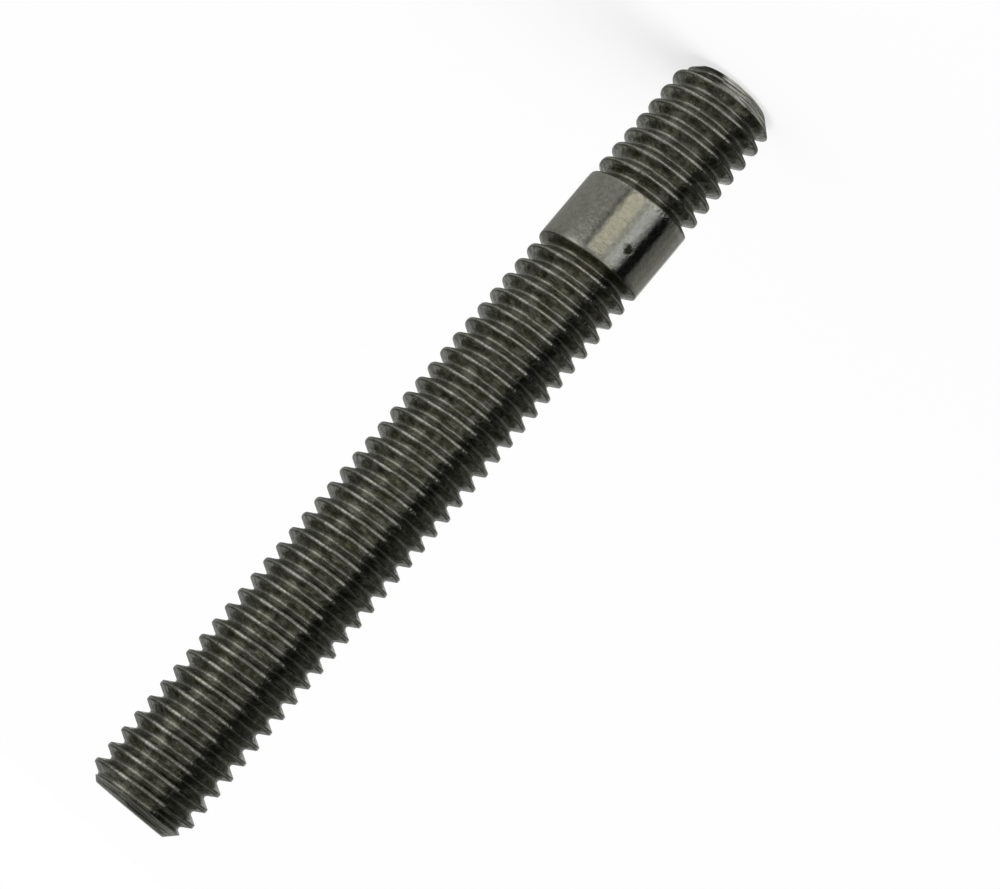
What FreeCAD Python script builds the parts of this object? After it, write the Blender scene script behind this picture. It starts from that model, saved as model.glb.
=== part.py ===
import FreeCAD, Part
import math
import os

# Double ended stud: one turned bar with a short thread that screws into a
# tapped hole, a plain shank, and a long thread that takes the nut.
# It stands on the face of its short end, on the origin, with its axis on +Z.

# Driving dimensions, in millimetres and degrees.
# The threads end where the last crest meets the shank on the +X side.
TAP_THREAD_LENGTH = 12.9
SHANK_LENGTH = 6.25
NUT_THREAD_LENGTH = 56.95
PITCH = 25.4 / 16            # 16 threads to the inch, right hand
MAJOR_DIAMETER = 9.38
SHANK_DIAMETER = 9.40
THREAD_ANGLE = 60.0          # between the two flanks of a groove
THREAD_DEPTH = 0.81
CREST_FLAT = 0.33
RUNOUT_TURNS = 0.5           # a groove fades out over this much of a turn
END_FACE_DIAMETER = 6.8
CHAMFER_ANGLE = 45.0         # both end cones, from the end face
STRETCHES = 28               # straight stretches in one turn of a groove

OVERALL_LENGTH = TAP_THREAD_LENGTH + SHANK_LENGTH + NUT_THREAD_LENGTH
MAJOR_RADIUS = MAJOR_DIAMETER / 2
FLANK_SLOPE = math.tan(math.radians(THREAD_ANGLE / 2))
ROOT_FLAT = PITCH - CREST_FLAT - 2 * THREAD_DEPTH * FLANK_SLOPE
SEAM = 1e-6                  # two points closer than this are one


def stations(turn, border, depth_at):
    """The thread's outline over one pitch, in the half plane that this turn has reached.

    It rises from the lower edge of a crest to the lower edge of the next one.
    The crest lies on the height of the border crest, plus a pitch for each turn.
    """
    angle = 2 * math.pi * turn
    depth = depth_at(turn)
    groove = border + PITCH * (turn + 0.5)
    groove_below = groove - PITCH
    rows = [
        (MAJOR_RADIUS, groove_below + ROOT_FLAT / 2 + depth_at(turn - 1) * FLANK_SLOPE),
        (MAJOR_RADIUS, groove - ROOT_FLAT / 2 - depth * FLANK_SLOPE),
        (MAJOR_RADIUS - depth, groove - ROOT_FLAT / 2),
        (MAJOR_RADIUS - depth, groove + ROOT_FLAT / 2),
        (MAJOR_RADIUS, groove + ROOT_FLAT / 2 + depth * FLANK_SLOPE),
    ]
    return [
        FreeCAD.Vector(radius * math.cos(angle), radius * math.sin(angle), height)
        for radius, height in rows
    ]


def flat_face(corners):
    """A flat face through these corners, or nothing where they close up to a line."""
    apart = [p for p, q in zip(corners, corners[1:] + corners[:1]) if p.distanceToPoint(q) > SEAM]
    if len(apart) < 3:
        return []
    return [Part.Face(Part.makePolygon(apart + apart[:1]))]


def one_above_the_other(low, high):
    return math.hypot(low.x - high.x, low.y - high.y) < SEAM


def strip(low, high, next_low, next_high):
    """The skin between two rows over one stretch: a crest or root is flat, a flank has a fold."""
    if one_above_the_other(low, high) and one_above_the_other(next_low, next_high):
        return flat_face([low, next_low, next_high, high])
    return flat_face([low, next_low, next_high]) + flat_face([low, next_high, high])


def end_cap(edge, outline):
    """Closes the bar's end: a fan under one turn of an edge, and the half section beside it."""
    hub = FreeCAD.Vector(0, 0, (edge[0].z + edge[-1].z) / 2)
    faces = flat_face([hub] + outline)
    for start, end in zip(edge, edge[1:]):
        faces += flat_face([hub, start, end])
    return faces


def threaded_bar(first_step, last_step, border, depth_at):
    """A solid bar with a groove wound round it, from one step to another, STRETCHES steps a turn."""
    outlines = [stations(step / STRETCHES, border, depth_at) for step in range(first_step, last_step + 1)]
    faces = []
    for here, there in zip(outlines, outlines[1:]):
        for row in range(len(here) - 1):
            faces += strip(here[row], here[row + 1], there[row], there[row + 1])
    faces += end_cap([outline[0] for outline in outlines[:STRETCHES + 1]], outlines[0])
    faces += end_cap([outline[-1] for outline in outlines[-STRETCHES - 1:]], outlines[-1])
    skin = Part.makeCompound(faces)
    skin.sewShape(SEAM)
    bar = Part.makeSolid(skin.Shells[0])
    if bar.Volume < 0:
        bar.reverse()
    return bar


def tap_depth(turn):
    """The short thread's groove is full up to turn 0, beside the shank, and fades out after it."""
    return THREAD_DEPTH * min(max(1 - turn / RUNOUT_TURNS, 0), 1)


def nut_depth(turn):
    """The long thread's groove starts at nothing and is full from half a turn under the border."""
    return THREAD_DEPTH * min(max(1 + (turn + 0.5) / RUNOUT_TURNS, 0), 1)


def shank_span():
    """Heights of the plain wall between the two run-outs, which lie on the far side, towards +Y."""
    tap_runout_top = TAP_THREAD_LENGTH + PITCH * (RUNOUT_TURNS - 0.5) + ROOT_FLAT / 2
    nut_runout_bottom = TAP_THREAD_LENGTH + SHANK_LENGTH - PITCH * RUNOUT_TURNS - ROOT_FLAT / 2
    land = ROOT_FLAT / 4
    return tap_runout_top + land, nut_runout_bottom - land


def turned_envelope():
    """The room that turning leaves: end faces, cones and the shank, and wide open over the threads."""
    face = END_FACE_DIAMETER / 2
    rim = max(MAJOR_DIAMETER, SHANK_DIAMETER)
    rise = (rim - face) * math.tan(math.radians(CHAMFER_ANGLE))
    base, top = shank_span()
    outline = [
        FreeCAD.Vector(0, 0, 0),
        FreeCAD.Vector(face, 0, 0),
        FreeCAD.Vector(rim, 0, rise),
        FreeCAD.Vector(rim, 0, base),
        FreeCAD.Vector(SHANK_DIAMETER / 2, 0, base),
        FreeCAD.Vector(SHANK_DIAMETER / 2, 0, top),
        FreeCAD.Vector(rim, 0, top),
        FreeCAD.Vector(rim, 0, OVERALL_LENGTH - rise),
        FreeCAD.Vector(face, 0, OVERALL_LENGTH),
        FreeCAD.Vector(0, 0, OVERALL_LENGTH),
    ]
    half = Part.Face(Part.makePolygon(outline + outline[:1]))
    return half.revolve(FreeCAD.Vector(0, 0, 0), FreeCAD.Vector(0, 0, 1), 360)


def shank():
    """The plain wall itself."""
    base, top = shank_span()
    return Part.makeCylinder(SHANK_DIAMETER / 2, top - base, FreeCAD.Vector(0, 0, base))


def build_stud():
    """Both threaded bars run past their end faces and into the shank, where the envelope trims them."""
    past_end = 0.5
    steps_down = math.ceil((TAP_THREAD_LENGTH / PITCH + 1 + past_end) * STRETCHES)
    steps_up = math.ceil((NUT_THREAD_LENGTH / PITCH + past_end) * STRETCHES)
    past_tap_runout = math.ceil((RUNOUT_TURNS + 1) * STRETCHES)
    past_nut_runout = math.ceil((0.5 + RUNOUT_TURNS + 1) * STRETCHES)
    nut_border = TAP_THREAD_LENGTH + SHANK_LENGTH
    tap_bar = threaded_bar(-steps_down, past_tap_runout, TAP_THREAD_LENGTH - PITCH, tap_depth)
    nut_bar = threaded_bar(-past_nut_runout, steps_up, nut_border, nut_depth)
    envelope = turned_envelope()
    return shank().fuse([tap_bar.common(envelope), nut_bar.common(envelope)])


os.makedirs("parts", exist_ok=True)
stud = build_stud()
stud.exportStep("parts/stud.step")
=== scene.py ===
import math
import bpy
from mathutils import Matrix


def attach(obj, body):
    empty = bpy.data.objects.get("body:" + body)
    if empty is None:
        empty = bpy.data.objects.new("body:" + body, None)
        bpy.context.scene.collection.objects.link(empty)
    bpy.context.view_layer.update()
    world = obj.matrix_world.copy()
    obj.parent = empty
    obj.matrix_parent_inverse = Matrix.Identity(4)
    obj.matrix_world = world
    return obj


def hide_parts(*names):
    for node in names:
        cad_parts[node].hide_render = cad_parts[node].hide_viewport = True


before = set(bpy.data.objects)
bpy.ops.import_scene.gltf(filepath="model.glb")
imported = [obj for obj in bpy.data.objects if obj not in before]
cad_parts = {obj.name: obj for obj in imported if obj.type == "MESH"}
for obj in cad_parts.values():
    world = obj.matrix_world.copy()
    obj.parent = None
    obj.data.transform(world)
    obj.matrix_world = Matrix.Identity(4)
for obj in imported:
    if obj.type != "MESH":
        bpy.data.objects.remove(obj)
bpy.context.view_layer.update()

from types import SimpleNamespace

import bmesh
import bpy
from mathutils import Matrix, Vector

# The double ended stud, dressed: the solid's own sizes, with a round thread,
# rounded roots and slightly crowned crests. It is modelled in millimetres and
# scaled to metres once it is cut to length.

MM = 0.001

# The stud's sizes
TAP_THREAD_LENGTH = 12.9
SHANK_LENGTH = 6.25
NUT_THREAD_LENGTH = 56.95
OVERALL_LENGTH = TAP_THREAD_LENGTH + SHANK_LENGTH + NUT_THREAD_LENGTH
PITCH = 25.4 / 16
CREST_RADIUS = 4.69
SHANK_RADIUS = 4.70
SHANK_EASE = 0.4             # the shank's extra radius comes in over this length
END_FACE_RADIUS = 3.4
CONE_ANGLE = math.radians(45)
EDGE_ROUND = 0.15            # between an end face and its cone
END_DOME = 0.02              # the far end face bulges by this much
END_OFFSET = 0.12            # and was turned a little off the axis, towards +X

# The groove's outline
GROOVE_DEPTH = 0.857
HALF_ANGLE = math.radians(30)
CROWN_ROUND = 0.45           # a crest bulges a little across its width
CROWN_ANGLE = math.radians(21)
CORNER_ROUND = 0.045         # and turns into the flank almost sharply
ROOT_ROUND = 0.229
FLANK_SHARES = (0.12, 0.88)  # two rows of points on a flank, near its top and its foot
ROOT_DEGREES = (30, 50, 70)  # rows of points on the root's round, from the flank on
RUNOUT_TURNS = 0.5           # a groove fades out over this much of a turn
LEAST_SQUEEZE = 0.2          # where it has, its rows keep this share of their spacing
HALVINGS = 40                # to find where a fading groove meets the blank

# The meshes
SEGMENTS = 80                # of one turn of thread
SHANK_TURNS = 4              # from the short thread's last crest to the long one's first
SPARE_BELOW = 1.5            # turns of thread past each end, which the envelope cuts off
SPARE_ABOVE = 0.5
ENVELOPE_RADIUS = 6.0        # well outside the threads
ENVELOPE_SEGMENTS = 160
SHARP_ANGLE = math.radians(34)
CLOSE = 1e-9


def full_groove():
    """Half of a full groove, from the crest's middle to the root's: how far each point is from
    the groove's middle along the axis, and how far under the crest."""
    points = []
    for share in (0.0, 0.5, 1.0):
        angle = CROWN_ANGLE * share
        along = PITCH / 2 - CROWN_ROUND * math.sin(angle)
        points.append((along, CROWN_ROUND * (1 - math.cos(angle))))
    crown_along, crown_depth = points[-1]
    flank_turn = math.pi / 2 - HALF_ANGLE
    for share in (0.5, 1.0):
        angle = CROWN_ANGLE + (flank_turn - CROWN_ANGLE) * share
        along = crown_along - CORNER_ROUND * (math.sin(angle) - math.sin(CROWN_ANGLE))
        depth = crown_depth + CORNER_ROUND * (math.cos(CROWN_ANGLE) - math.cos(angle))
        points.append((along, depth))
    top_along, top_depth = points[-1]
    root_centre = GROOVE_DEPTH - ROOT_ROUND
    foot_along = ROOT_ROUND * math.cos(HALF_ANGLE)
    foot_depth = root_centre + ROOT_ROUND * math.sin(HALF_ANGLE)
    for share in FLANK_SHARES:
        along = top_along + (foot_along - top_along) * share
        depth = top_depth + (foot_depth - top_depth) * share
        points.append((along, depth))
    for degrees in ROOT_DEGREES:
        angle = math.radians(degrees)
        points.append((ROOT_ROUND * math.cos(angle), root_centre + ROOT_ROUND * math.sin(angle)))
    points.append((0.0, GROOVE_DEPTH))
    return points


HALF = full_groove()
ROWS = [(-along, depth) for along, depth in HALF] + HALF[-2::-1]
CORNER = HALF[2][0]          # where a crest's crown ends, from the groove's middle


def depth_at(along):
    """Depth of the full groove at this distance from its middle."""
    along = abs(along)
    for (outer, shallow), (inner, deep) in zip(HALF, HALF[1:]):
        if inner <= along <= outer:
            return deep + (shallow - deep) * (along - inner) / (outer - inner)
    return 0.0


def crossing(lift):
    """Where the groove's outline meets the blank once the tool has drawn back by this much."""
    low, high = 0.0, CORNER
    for halving in range(HALVINGS):
        middle = (low + high) / 2
        if depth_at(middle) > lift:
            low = middle
        else:
            high = middle
    return low


def cut(turn):
    """How much of the groove's depth is cut here, from 0 to 1. Turn 0 is the short thread's last
    crest on the +X side, and SHANK_TURNS the long thread's first."""
    leaving = 1 - (turn + 1) / RUNOUT_TURNS
    entering = (turn - SHANK_TURNS + 1) / RUNOUT_TURNS
    return min(max(leaving, entering, 0.0), 1.0)


def crest_height(turn):
    """Height of the crest at this turn. Between the two run-outs the turns share the shank."""
    tap_end = RUNOUT_TURNS
    nut_start = SHANK_TURNS - 1
    if turn <= tap_end:
        return TAP_THREAD_LENGTH + PITCH * turn
    if turn >= nut_start:
        return TAP_THREAD_LENGTH + SHANK_LENGTH + PITCH * (turn - SHANK_TURNS)
    share = (turn - tap_end) / (nut_start - tap_end)
    return crest_height(tap_end) * (1 - share) + crest_height(nut_start) * share


def smooth(value):
    """Eases from 0 to 1."""
    value = min(max(value, 0.0), 1.0)
    return value * value * (3 - 2 * value)


def blank_radius(height):
    """The bar before the grooves are cut: the shank is a hair thicker than the crests."""
    into = smooth((height - TAP_THREAD_LENGTH) / SHANK_EASE)
    out_of = smooth((TAP_THREAD_LENGTH + SHANK_LENGTH - height) / SHANK_EASE)
    return CREST_RADIUS + (SHANK_RADIUS - CREST_RADIUS) * into * out_of


def station(turn):
    """One pitch of the outline at this turn, from a crest's middle up to just under the next."""
    angle = 2 * math.pi * turn
    here, above = crest_height(turn), crest_height(turn + 1)
    share = cut(turn)
    lift = (1 - share) * GROOVE_DEPTH
    squeeze = max(crossing(lift) / CORNER, LEAST_SQUEEZE) if share < 1 else 1.0
    border = CORNER * squeeze
    points = []
    for along, depth in ROWS[:-1]:
        if abs(along) <= CORNER + CLOSE:
            place = along * squeeze
        else:
            outer = (PITCH / 2 - abs(along)) / (PITCH / 2 - CORNER)
            place = math.copysign(PITCH / 2 - outer * (PITCH / 2 - border), along)
        if share < 1:
            depth = max(depth_at(place) - lift, 0.0)
        height = here + (place / PITCH + 0.5) * (above - here)
        radius = blank_radius(height) - depth
        points.append((radius * math.cos(angle), radius * math.sin(angle), height))
    return points


def threaded_bar():
    """The whole bar as one closed skin wound from a helical grid, longer than the stud at both
    ends. The last row of one turn is the first row of the next."""
    first = -math.ceil((TAP_THREAD_LENGTH / PITCH + SPARE_BELOW) * SEGMENTS)
    last = math.ceil((NUT_THREAD_LENGTH / PITCH + SHANK_TURNS + SPARE_ABOVE) * SEGMENTS)
    steps = last - first
    rows = len(ROWS) - 1
    mesh = bmesh.new()
    grid = []
    for step in range(steps + SEGMENTS + 1):
        points = station((first + step) / SEGMENTS)
        if step > steps:
            points = points[:1]
        grid.append([mesh.verts.new(point) for point in points])

    def vertex(step, row):
        if row == rows:
            return grid[step + SEGMENTS][0]
        return grid[step][row]

    def hub(step):
        """Middle of an end, halfway up the turn that starts at this step."""
        height = (grid[step][0].co.z + grid[step + SEGMENTS][0].co.z) / 2
        return mesh.verts.new((0, 0, height))

    for step in range(steps):
        for row in range(rows):
            here = vertex(step, row), vertex(step + 1, row)
            above = vertex(step + 1, row + 1), vertex(step, row + 1)
            mesh.faces.new(here + above)
    bottom = hub(0)
    top = hub(steps)
    for step in range(SEGMENTS):
        mesh.faces.new((bottom, grid[step + 1][0], grid[step][0]))
        mesh.faces.new((top, grid[steps + step][0], grid[steps + step + 1][0]))
    for row in range(rows):
        mesh.faces.new((bottom, vertex(0, row), vertex(0, row + 1)))
        mesh.faces.new((top, vertex(steps, row + 1), vertex(steps, row)))
    bmesh.ops.recalc_face_normals(mesh, faces=mesh.faces)
    return mesh


def turned_skin(mesh, outline, segments, start=0.0):
    """A skin turned from rows of radius, height and shift along X. Gives its rings of corners."""
    rings = []
    for radius, height, shift in outline:
        ring = []
        for step in range(segments):
            angle = 2 * math.pi * (step + start) / segments
            corner = (shift + radius * math.cos(angle), radius * math.sin(angle), height)
            ring.append(mesh.verts.new(corner))
        rings.append(ring)
    for ring, above in zip(rings, rings[1:]):
        for step in range(segments):
            after = (step + 1) % segments
            mesh.faces.new((ring[step], ring[after], above[after], above[step]))
    return rings


def turned_envelope():
    """End faces and cones with rounded edges, wide open round the threads."""
    reach = EDGE_ROUND * math.tan(CONE_ANGLE / 2)
    edge = []
    for share in (0.0, 0.5, 1.0):
        angle = CONE_ANGLE * share
        radius = END_FACE_RADIUS - reach + EDGE_ROUND * math.sin(angle)
        edge.append((radius, EDGE_ROUND * (1 - math.cos(angle))))
    rim = (ENVELOPE_RADIUS, (ENVELOPE_RADIUS - END_FACE_RADIUS) * math.tan(CONE_ANGLE))
    outline = [(radius, height, 0.0) for radius, height in edge + [rim]]
    outline.append((rim[0], OVERALL_LENGTH - rim[1], END_OFFSET))
    for radius, height in reversed(edge):
        outline.append((radius, OVERALL_LENGTH - height - END_DOME, END_OFFSET))
    for share in (0.75, 0.5, 0.25):
        height = OVERALL_LENGTH - END_DOME * share ** 2
        outline.append((edge[0][0] * share, height, END_OFFSET))
    mesh = bmesh.new()
    rings = turned_skin(mesh, outline, ENVELOPE_SEGMENTS, 0.5)
    mesh.faces.new(list(reversed(rings[0])))
    mesh.faces.new(rings[-1])
    bmesh.ops.recalc_face_normals(mesh, faces=mesh.faces)
    return mesh


def new_object(name, mesh):
    """A Blender object from a mesh under construction."""
    data = bpy.data.meshes.new(name)
    mesh.to_mesh(data)
    mesh.free()
    obj = bpy.data.objects.new(name, data)
    bpy.context.scene.collection.objects.link(obj)
    return obj


def make_stud():
    """The bar cut to length by the envelope, in metres."""
    bar = new_object("stud_dressed", threaded_bar())
    envelope = new_object("envelope", turned_envelope())
    trim = bar.modifiers.new("trim", "BOOLEAN")
    trim.operation = "INTERSECT"
    trim.solver = "EXACT"
    trim.object = envelope
    bpy.context.view_layer.update()
    cut_bar = bar.evaluated_get(bpy.context.evaluated_depsgraph_get())
    trimmed = bpy.data.meshes.new_from_object(cut_bar)
    bar.modifiers.clear()
    bar.data = trimmed
    trimmed.name = "stud_dressed"
    bpy.data.objects.remove(envelope)
    trimmed.transform(Matrix.Scale(MM, 4))
    trimmed.shade_smooth()
    trimmed.set_sharp_from_angle(angle=SHARP_ANGLE)
    return bar


NOISE_BAND = (0.3, 0.7)      # most of a noise lies between these


class Nodes:
    """Short calls for a node tree. A value is a socket or a plain number."""

    def __init__(self, tree):
        self.tree = tree

    def add(self, kind, inputs=None, **settings):
        """A new node with its inputs set or linked."""
        node = self.tree.nodes.new(kind)
        for name, value in settings.items():
            setattr(node, name, value)
        for name, value in (inputs or {}).items():
            if isinstance(value, bpy.types.NodeSocket):
                self.tree.links.new(value, node.inputs[name])
            else:
                node.inputs[name].default_value = value
        return node

    def math(self, operation, first, second=0.0):
        return self.add("ShaderNodeMath", {0: first, 1: second}, operation=operation).outputs[0]

    def plus(self, first, second):
        return self.math("ADD", first, second)

    def minus(self, first, second):
        return self.math("SUBTRACT", first, second)

    def times(self, first, second):
        return self.math("MULTIPLY", first, second)

    def hypotenuse(self, first, second):
        return self.math("SQRT", self.plus(self.times(first, first), self.times(second, second)))

    def step(self, value, start, end, low=0.0, high=1.0):
        """Goes smoothly from low to high while the value goes from start to end."""
        inputs = {"Value": value, "From Min": start, "From Max": end, "To Min": low, "To Max": high}
        return self.add("ShaderNodeMapRange", inputs, interpolation_type="SMOOTHSTEP").outputs[0]

    def spread(self, noise, low=0.0, high=1.0):
        """Goes smoothly from low to high over the middle of a noise."""
        return self.step(noise, *NOISE_BAND, low, high)

    def noise(self, place, scale, detail):
        inputs = {"Vector": place, "Scale": scale, "Detail": detail}
        return self.add("ShaderNodeTexNoise", inputs).outputs["Fac"]

    def vector(self, x, y, z):
        return self.add("ShaderNodeCombineXYZ", {0: x, 1: y, 2: z}).outputs[0]

    def mix(self, factor, first, second):
        """Between two colours, each a socket, a triple or a grey level."""
        inputs = {0: factor}
        for place, colour in ((6, first), (7, second)):
            if isinstance(colour, float):
                colour = (colour, colour, colour)
            inputs[place] = (*colour, 1) if isinstance(colour, tuple) else colour
        return self.add("ShaderNodeMix", inputs, data_type="RGBA").outputs[2]

    def blend(self, factor, first, second):
        """Between two plain values."""
        inputs = {0: factor, 2: first, 3: second}
        return self.add("ShaderNodeMix", inputs, data_type="FLOAT").outputs[0]


def new_material(name):
    """An empty material, with its node tree ready for short calls."""
    material = bpy.data.materials.new(name)
    material.use_nodes = True
    material.node_tree.nodes.clear()
    return material, Nodes(material.node_tree)


# Where the steel's zones begin and end, in millimetres
GROOVE_EDGE = (0.001, 0.014)     # under the crest
# Where the roots' painted highlight begins and ends
ROOT_HIGHLIGHT_EDGE = (0.66, 0.76)
RIM_SHADE_EDGE = (0.13, 0.04)          # the flank just under a crest, painted darker as shade
PLAIN_EDGE = (0.30, 0.05)        # past the shank's ends
BESIDE_SHANK_EDGE = (1.3, 0.5)
CONE_EDGE = (0.06, 0.03)         # under the cone
FACE_EDGE = (0.08, 0.06)         # from the end face
NEAR_END_EDGE = (2.0, 1.0)       # from the short thread's end face

# The steel's noises: scale, for places in millimetres, and detail
PATCHES = (1.2, 2.0)
WAVES = (1.5, 3.0)
MOTTLE = (2.8, 3.0)
SCAR_OUTLINE = (3.0, 2.0)
STREAKS = (4.0, 3.0)
SPECKS = (4.3, 1.0)
RINGS = (6.0, 3.0)
GRAIN = (6.5, 2.0)
ACROSS_CUT = 1.2                 # how fast streaks change across the cut, and along it
ALONG_CUT = 0.35
RING_DRIFT = 0.08                # turning marks aren't quite the same all round

# Where a noise turns into a mark
RING_BAND = (0.38, 0.62)
SPECK_BAND = (0.70, 0.76)
STAIN_BAND = (1.02, 1.40)        # of patches, with mottle and the fine noises added by these shares
MOTTLE_SHARE = 0.7
FINE_SHARE = 0.35

# The scar on the shank, in millimetres: its middle, its edge, and how ragged that is
SCAR_AT = (-1.72, -4.37, 16.60)
SCAR_EDGE = (0.62, 0.22)
SCAR_RAGGED = 0.7

# Colours of the steel
SHANK_DARK = (0.44, 0.44, 0.365)
SHANK_LIGHT = (0.56, 0.56, 0.475)
CREST_DARK = (0.48, 0.48, 0.41)
CREST_LIGHT = (0.72, 0.72, 0.63)
# The grooves are painted darker than the crests, as shade, and stained between these two
GROOVE_SHADE_DARK = (0.17, 0.17, 0.125)
GROOVE_SHADE_LIGHT = (0.47, 0.47, 0.415)
# Darker still in the grooves next to the shank
BESIDE_SHANK = (0.15, 0.15, 0.095)
# A painted highlight along the roots
ROOT_PAINTED_HIGHLIGHT = (0.50, 0.50, 0.43)
# Painted shade on the flank just under a crest
RIM_PAINTED_SHADE = (0.17, 0.17, 0.13)
# Turning marks; their light and dark rings are partly painted highlight and painted shade, darkest
# near the short end
RING_DARK_AND_SHADE = (0.20, 0.20, 0.16)
NEAR_RING_DARK_AND_SHADE = (0.12, 0.12, 0.09)
RING_LIGHT_AND_HIGHLIGHT = (0.69, 0.69, 0.60)
SPECK = (0.17, 0.17, 0.14)
SCAR = (0.05, 0.05, 0.035)

# How much each mark covers of the colour under it
BESIDE_SHANK_COVER = 0.7
ROOT_HIGHLIGHT_COVER = 0.45
RIM_SHADE_COVER = 0.6
SPECK_COVER = 0.5
SCAR_COVER = 0.95

# Roughness, from the smoothest spots to the roughest
SHANK_ROUGH = (0.07, 0.15)
CREST_ROUGH = (0.09, 0.18)
GROOVE_ROUGH = (0.15, 0.27)
TURNED_ROUGH = (0.20, 0.34)
SCAR_ROUGH = 0.5

# Heights of the relief, in units of RELIEF: on the threads and on the shank where two are given
RELIEF = 0.05 * MM
WAVE_HEIGHTS = (1.6, 0.45)
GRAIN_HEIGHTS = (0.14, 0.03)
STREAK_HEIGHT = 0.06
RING_HEIGHT = 0.6
SCAR_DEPTH = 0.3


def steel_places(n):
    """Where a point of the steel is, in millimetres."""
    metres = n.add("ShaderNodeTexCoord").outputs["Object"]
    scaled = n.add("ShaderNodeVectorMath", {0: metres, "Scale": 1 / MM}, operation="SCALE")
    at = SimpleNamespace(place=scaled.outputs[0])
    at.x, at.y, at.z = n.add("ShaderNodeSeparateXYZ", {0: at.place}).outputs
    at.radius = n.hypotenuse(at.x, at.y)
    # The far end was turned about its own axis.
    middle = OVERALL_LENGTH / 2
    off_axis = n.step(at.z, middle, middle + 1, 0.0, END_OFFSET)
    at.turned_radius = n.hypotenuse(n.minus(at.x, off_axis), at.y)
    at.from_end = n.math("MINIMUM", at.z, n.minus(OVERALL_LENGTH, at.z))
    at.from_shank = n.math("ABSOLUTE", n.minus(at.z, TAP_THREAD_LENGTH + SHANK_LENGTH / 2))
    return at


def steel_zones(n, at):
    """Masks from 0 to 1: the grooves, their roots where a highlight is painted, the rim beside a
    crest where shade is painted, the plain shank, the grooves beside it, the turned ends, and the
    steel near the foot."""

    def under_crest(start, end):
        return n.step(at.radius, CREST_RADIUS - start, CREST_RADIUS - end)

    def past_shank(start, end):
        return n.step(at.from_shank, SHANK_LENGTH / 2 + start, SHANK_LENGTH / 2 + end)

    def under_cone(start, end):
        cone_face_radius = n.minus(at.turned_radius, at.from_end)
        return n.step(cone_face_radius, END_FACE_RADIUS - start, END_FACE_RADIUS - end)

    groove = under_crest(*GROOVE_EDGE)
    face = n.step(at.from_end, *FACE_EDGE)
    return SimpleNamespace(
        groove=groove,
        # The roots, where a highlight is painted
        root=under_crest(*ROOT_HIGHLIGHT_EDGE),
        # The flank under a crest, where shade is painted
        rim=n.times(groove, under_crest(*RIM_SHADE_EDGE)),
        plain=n.times(past_shank(*PLAIN_EDGE), n.minus(1.0, groove)),
        beside_shank=n.times(past_shank(*BESIDE_SHANK_EDGE), groove),
        turned=n.math("MAXIMUM", under_cone(*CONE_EDGE), face),
        near_end=n.step(at.z, *NEAR_END_EDGE),
    )


def helix_place(n, at):
    """A place that runs along the thread: what it carries is drawn out along the cut."""
    phase = n.minus(n.times(at.z, 2 * math.pi / PITCH), n.math("ARCTAN2", at.y, at.x))
    return n.vector(
        n.plus(n.times(n.math("COSINE", phase), ACROSS_CUT), n.times(at.x, ALONG_CUT)),
        n.plus(n.times(n.math("SINE", phase), ACROSS_CUT), n.times(at.y, ALONG_CUT)),
        n.times(at.z, ALONG_CUT),
    )


def steel_marks(n, at, zone):
    """The noises and the marks made of them."""
    mark = SimpleNamespace(
        waves=n.noise(at.place, *WAVES),
        mottle=n.noise(at.place, *MOTTLE),
        grain=n.noise(at.place, *GRAIN),
        streaks=n.noise(helix_place(n, at), *STREAKS),
    )
    ring_place = n.vector(at.turned_radius, at.from_end, n.times(at.x, RING_DRIFT))
    mark.rings = n.noise(ring_place, *RINGS)
    mark.speck = n.step(n.noise(at.place, *SPECKS), *SPECK_BAND)
    blotches = n.plus(n.noise(at.place, *PATCHES), n.times(mark.mottle, MOTTLE_SHARE))
    blotches = n.plus(blotches, n.times(n.plus(mark.streaks, mark.grain), FINE_SHARE))
    mark.stain = n.step(blotches, *STAIN_BAND)
    from_scar = n.add("ShaderNodeVectorMath", {0: at.place, 1: SCAR_AT}, operation="DISTANCE")
    ragged = n.times(n.minus(n.noise(at.place, *SCAR_OUTLINE), 0.5), SCAR_RAGGED)
    scar = n.step(n.plus(from_scar.outputs["Value"], ragged), *SCAR_EDGE)
    mark.scar = n.times(scar, zone.plain)
    return mark


def steel_colour(n, zone, mark):
    """Bright crests and shank, grooves painted darker as shade and stained, with a painted highlight
    in their roots and painted shade under the crests, and turning marks on the ends, their rings
    partly painted highlight and shade.
    """
    shank = n.mix(n.spread(mark.mottle), SHANK_DARK, SHANK_LIGHT)
    crest = n.mix(n.spread(mark.waves), CREST_DARK, CREST_LIGHT)
    open_steel = n.mix(zone.plain, crest, shank)
    # Painted shade in the grooves, varied by stains
    groove = n.mix(mark.stain, GROOVE_SHADE_DARK, GROOVE_SHADE_LIGHT)
    # Darker still beside the shank
    groove = n.mix(n.times(zone.beside_shank, BESIDE_SHANK_COVER), groove, BESIDE_SHANK)
    # A painted highlight in the roots
    groove = n.mix(n.times(zone.root, ROOT_HIGHLIGHT_COVER), groove, ROOT_PAINTED_HIGHLIGHT)
    # Painted shade under the crests
    groove = n.mix(n.times(zone.rim, RIM_SHADE_COVER), groove, RIM_PAINTED_SHADE)
    # Turning marks, partly painted highlight and shade, darker near the short end
    dark_ring_and_shade = n.mix(zone.near_end, RING_DARK_AND_SHADE, NEAR_RING_DARK_AND_SHADE)
    turned = n.mix(n.step(mark.rings, *RING_BAND), dark_ring_and_shade, RING_LIGHT_AND_HIGHLIGHT)
    colour = n.mix(zone.groove, open_steel, groove)
    colour = n.mix(zone.turned, colour, turned)
    colour = n.mix(n.times(mark.speck, SPECK_COVER), colour, SPECK)
    return n.mix(n.times(mark.scar, SCAR_COVER), colour, SCAR)


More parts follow.
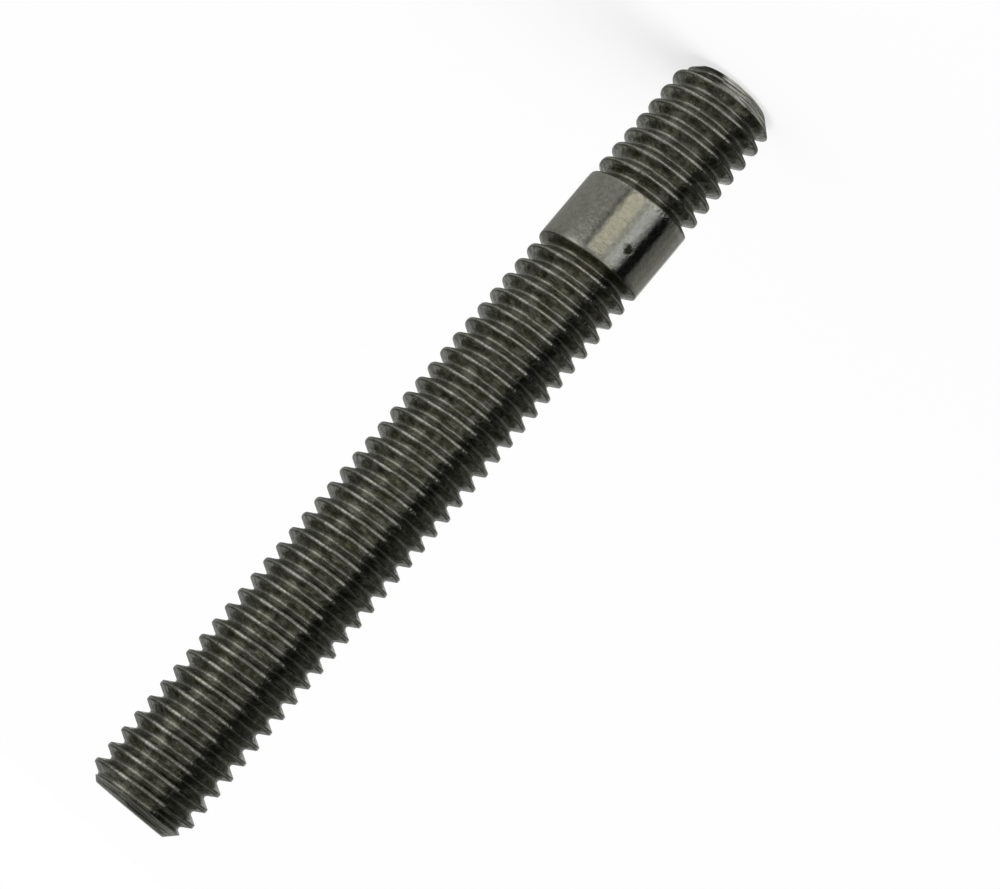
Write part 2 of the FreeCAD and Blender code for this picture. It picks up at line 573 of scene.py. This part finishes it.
def steel_roughness(n, zone, mark):
    """Smoothest on the shank, and roughest on the turned ends and in the scar."""
    crest = n.spread(mark.grain, *CREST_ROUGH)
    groove = n.spread(mark.streaks, *GROOVE_ROUGH)
    rough = n.blend(zone.groove, crest, groove)
    rough = n.blend(zone.plain, rough, n.spread(mark.mottle, *SHANK_ROUGH))
    rough = n.blend(zone.turned, rough, n.spread(mark.rings, *TURNED_ROUGH))
    return n.blend(mark.scar, rough, SCAR_ROUGH)


def steel_relief(n, zone, mark):
    """Height of the surface's small unevenness. Each noise swings about nought."""

    def centred(noise):
        return n.minus(noise, 0.5)

    relief = n.times(centred(mark.waves), n.blend(zone.plain, *WAVE_HEIGHTS))
    relief = n.plus(relief, n.times(centred(mark.grain), n.blend(zone.plain, *GRAIN_HEIGHTS)))
    relief = n.plus(relief, n.times(centred(mark.streaks), STREAK_HEIGHT))
    relief = n.plus(relief, n.times(n.times(centred(mark.rings), zone.turned), RING_HEIGHT))
    return n.minus(relief, n.times(mark.scar, SCAR_DEPTH))


def steel_material():
    """Bright steel: smooth on the shank and the crests, rougher, stained and painted darker as shade
    in the grooves, with a painted highlight in the roots, and with turning marks on the end faces and
    cones, their rings partly painted highlight and shade."""
    material, n = new_material("bright_steel")
    at = steel_places(n)
    zone = steel_zones(n, at)
    mark = steel_marks(n, at, zone)
    relief = steel_relief(n, zone, mark)
    bump = n.add("ShaderNodeBump", {"Height": relief, "Strength": 1.0, "Distance": RELIEF})
    shader = n.add("ShaderNodeBsdfPrincipled", {
        "Base Color": steel_colour(n, zone, mark),
        "Roughness": steel_roughness(n, zone, mark),
        "Metallic": 1.0,
        "Normal": bump.outputs[0],
    })
    n.add("ShaderNodeOutputMaterial", {"Surface": shader.outputs["BSDF"]})
    return material


# The studio that the metal reflects. Each card is given by the directions between which it stands,
# in degrees from the camera towards the photograph's lower right, by its brightness in the metal and,
# where it isn't grey, by its warmth. The light between two cards changes evenly.
DOME_RADIUS = 0.6
DOME_SEGMENTS = 96
DOME_RISES = 24
FLOOR_GAP = 0.00002          # the cards lie this much over nought, and the floor as much under it
METAL = 0.5                  # a card's glow is its brightness in the metal over this

# On the floor right round the foot, for the near cone
FOOT_CARDS = [
    (-180, -78, 0.13), (-66, -28, 0.028), (-15, 12, 0.40), (26, 52, 0.20), (75, 180, 0.11),
]
# On the floor a little further out, for the short thread
NEAR_CARDS = [
    (-180, -168, 0.24), (-156, -140, 0.10), (-110, -90, 0.11), (-58, -44, 0.24), (-28, -28, 0.15),
    (-10, 8, 0.15), (24, 36, 0.29), (54, 72, 0.028), (86, 92, 0.07), (110, 130, 0.085),
    (144, 150, 0.10), (164, 180, 0.24),
]
# On the floor in a ring round those, for the shank
SHANK_CARDS = [
    (-180, -168, 0.32), (-158, -42, 0.145), (-35, -30, 0.085), (-22, 4, 0.36, 0.14), (8, 17, 0.24),
    (23, 34, 0.32, -0.10), (53, 72, 0.004), (82, 90, 0.072), (100, 112, 0.105), (130, 148, 0.15),
    (160, 180, 0.32),
]
# On the rest of the floor and the foot of the walls, for the long thread
WALL_CARDS = [
    (-180, -168, 0.26), (-156, -140, 0.12), (-110, -90, 0.11), (-58, -46, 0.36), (-28, -28, 0.15),
    (-10, 8, 0.14), (22, 33, 0.25), (46, 76, 0.006), (88, 92, 0.032), (110, 130, 0.065),
    (144, 150, 0.10), (164, 180, 0.26),
]
# Higher up on the walls, and on the ceiling
HIGH_CARDS = [
    (-180, -150, 0.16), (-130, -110, 0.07), (-85, -85, 0.10), (-62, -46, 0.38), (-28, 10, 0.085),
    (20, 34, 0.14), (44, 76, 0.035), (96, 140, 0.075), (160, 180, 0.16),
]
CEILING_CARDS = [
    (-180, -50, 0.115), (-20, 20, 0.05), (50, 180, 0.055),
]
STRAIGHT_UP = 0.035

# Where one set of cards gives way to the next: distances in metres, and degrees above the floor
FOOT_FADE = (0.008, 0.006)
NEAR_FADE = (0.030, 0.042)
SHANK_FADE = (0.092, 0.125)
HIGH_RISE = (2, 14)
CEILING_RISE = (40, 52)
TOP_RISE = (70, 80)


def card_ramp(n, angle, cards):
    """Brightness by direction."""
    ramp = n.add("ShaderNodeValToRGB", {"Fac": angle})
    edges = []
    for start, end, level, *tint in cards:
        grey = level / METAL
        warmth = tint[0] if tint else 0.0
        colour = (grey, grey * (1 - warmth / 4), grey * (1 - warmth), 1)
        edges += [(degrees, colour) for degrees in sorted({start, end})]
    stops = ramp.color_ramp.elements
    while len(stops) < len(edges):
        stops.new(1.0)
    for stop, (degrees, colour) in zip(stops, edges):
        stop.position = (degrees + 180) / 360
    for stop, (degrees, colour) in zip(stops, edges):
        stop.color = colour
    return ramp.outputs["Color"]


def card_material():
    """The cards' light by direction, by distance along the floor and by height."""
    material, n = new_material("studio_cards")
    place = n.add("ShaderNodeTexCoord").outputs["Object"]
    x, y, z = n.add("ShaderNodeSeparateXYZ", {0: place}).outputs
    heading = n.math("ARCTAN2", n.times(x, -1.0), n.times(y, -1.0))
    angle = n.plus(n.math("DIVIDE", heading, 2 * math.pi), 0.5)
    length = n.add("ShaderNodeVectorMath", {0: place}, operation="LENGTH").outputs["Value"]
    rise = n.math("ARCSINE", n.math("DIVIDE", z, length))

    def above(start, end):
        return n.step(rise, math.radians(start), math.radians(end))

    def lit(cards):
        return card_ramp(n, angle, cards)

    light = n.mix(n.step(length, *NEAR_FADE), lit(NEAR_CARDS), lit(SHANK_CARDS))
    light = n.mix(n.step(length, *SHANK_FADE), light, lit(WALL_CARDS))
    light = n.mix(above(*HIGH_RISE), light, lit(HIGH_CARDS))
    light = n.mix(above(*CEILING_RISE), light, lit(CEILING_CARDS))
    light = n.mix(above(*TOP_RISE), light, STRAIGHT_UP / METAL)
    light = n.mix(n.step(length, *FOOT_FADE), light, lit(FOOT_CARDS))
    glow = n.add("ShaderNodeEmission", {"Color": light, "Strength": 1.0})
    n.add("ShaderNodeOutputMaterial", {"Surface": glow.outputs[0]})
    return material


def make_cards():
    """A dome of cards and the same cards lying on the floor, seen only by the metal."""
    outline = [(END_FACE_RADIUS * MM, FLOOR_GAP, 0.0), (DOME_RADIUS, FLOOR_GAP, 0.0)]
    for step in range(1, DOME_RISES):
        angle = math.pi / 2 * step / DOME_RISES
        outline.append((DOME_RADIUS * math.cos(angle), DOME_RADIUS * math.sin(angle), 0.0))
    mesh = bmesh.new()
    rings = turned_skin(mesh, outline, DOME_SEGMENTS)
    mesh.faces.new(rings[-1])
    cards = new_object("studio_cards", mesh)
    cards.data.materials.append(card_material())
    cards.visible_camera = False
    cards.visible_diffuse = False
    cards.visible_transmission = False
    cards.visible_shadow = False
    cards.visible_volume_scatter = False


# The plain studio, white to the eye
WHITE = (1, 1, 1, 1)
FLOOR_HALF = 40.0
FLOOR_PAINT = (0.9, 0.9, 0.9, 1)
FLOOR_GLOW = 0.7             # share of the floor's look that is its own glow
AMBIENT = 0.5
KEY_ANGLE = math.radians(40)
KEY_ENERGY = 2.0
KEY_DIRECTION = (0.35, 0.25, -0.9)

# The camera, about level with the far end and a little under 0.3 m away: where it stands, and the
# directions that are right, down and ahead in its picture
SENSOR_WIDTH = 36.0
LENS = 129.008
NEAREST = 0.01
CAMERA_AT = (0.000057, -0.285540, 0.079633)
CAMERA_RIGHT = Vector((-0.76553539, -0.11015688, -0.63389355))
CAMERA_DOWN = Vector((-0.64325167, 0.11033276, 0.7576635))
CAMERA_AHEAD = Vector((-0.01352262, 0.9877713, -0.15532222))


def seen_by_eye(n):
    """1 where the camera looks, straight or by way of metal or glass."""
    path = n.add("ShaderNodeLightPath").outputs
    seen = n.math("MAXIMUM", path["Is Camera Ray"], path["Is Glossy Ray"])
    return n.math("MAXIMUM", seen, path["Is Transmission Ray"])


def make_floor():
    """Nearly white by itself, and it keeps the stud's shadow."""
    mesh = bmesh.new()
    half = FLOOR_HALF
    corners = (-half, -half, 0), (half, -half, 0), (half, half, 0), (-half, half, 0)
    mesh.faces.new([mesh.verts.new(corner) for corner in corners])
    floor = new_object("floor", mesh)
    floor.location.z = -FLOOR_GAP
    material, n = new_material("pale_floor")
    paint = n.add("ShaderNodeBsdfDiffuse", {"Color": FLOOR_PAINT})
    glow = n.add("ShaderNodeEmission", {"Color": WHITE, "Strength": 1.0})
    share = n.times(seen_by_eye(n), FLOOR_GLOW)
    mix = n.add("ShaderNodeMixShader", {0: share, 1: paint.outputs[0], 2: glow.outputs[0]})
    n.add("ShaderNodeOutputMaterial", {"Surface": mix.outputs[0]})
    floor.data.materials.append(material)


def make_world():
    """Soft light from everywhere, which the eye sees as white."""
    world = bpy.data.worlds.new("studio")
    bpy.context.scene.world = world
    world.use_nodes = True
    world.node_tree.nodes.clear()
    n = Nodes(world.node_tree)
    soft = n.add("ShaderNodeBackground", {"Color": WHITE, "Strength": AMBIENT})
    white = n.add("ShaderNodeBackground", {"Color": WHITE, "Strength": 1.0})
    mix = n.add("ShaderNodeMixShader", {0: seen_by_eye(n), 1: soft.outputs[0], 2: white.outputs[0]})
    n.add("ShaderNodeOutputWorld", {"Surface": mix.outputs[0]})


def make_lamp():
    """One soft distant light from above, which reaches the floor everywhere alike. The metal
    reflects the cards in its place."""
    data = bpy.data.lights.new("key", "SUN")
    data.angle = KEY_ANGLE
    data.energy = KEY_ENERGY
    lamp = bpy.data.objects.new("key", data)
    bpy.context.scene.collection.objects.link(lamp)
    lamp.rotation_euler = Vector(KEY_DIRECTION).to_track_quat("-Z", "Y").to_euler()
    lamp.visible_glossy = False


def make_camera():
    """Looks down at the foot, and is rolled as the photo is."""
    data = bpy.data.cameras.new("camera")
    data.sensor_width = SENSOR_WIDTH
    data.lens = LENS
    data.clip_start = NEAREST
    camera = bpy.data.objects.new("camera", data)
    bpy.context.scene.collection.objects.link(camera)
    axes = Matrix((CAMERA_RIGHT, -CAMERA_DOWN, -CAMERA_AHEAD))
    camera.matrix_world = axes.transposed().to_4x4()
    camera.location = CAMERA_AT
    bpy.context.scene.camera = camera


stud = make_stud()
stud.data.materials.clear()
stud.data.materials.append(steel_material())
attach(stud, "root")
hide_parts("stud")

make_cards()
make_floor()
make_world()
make_lamp()
make_camera()
bpy.context.scene.view_settings.view_transform = "Standard"
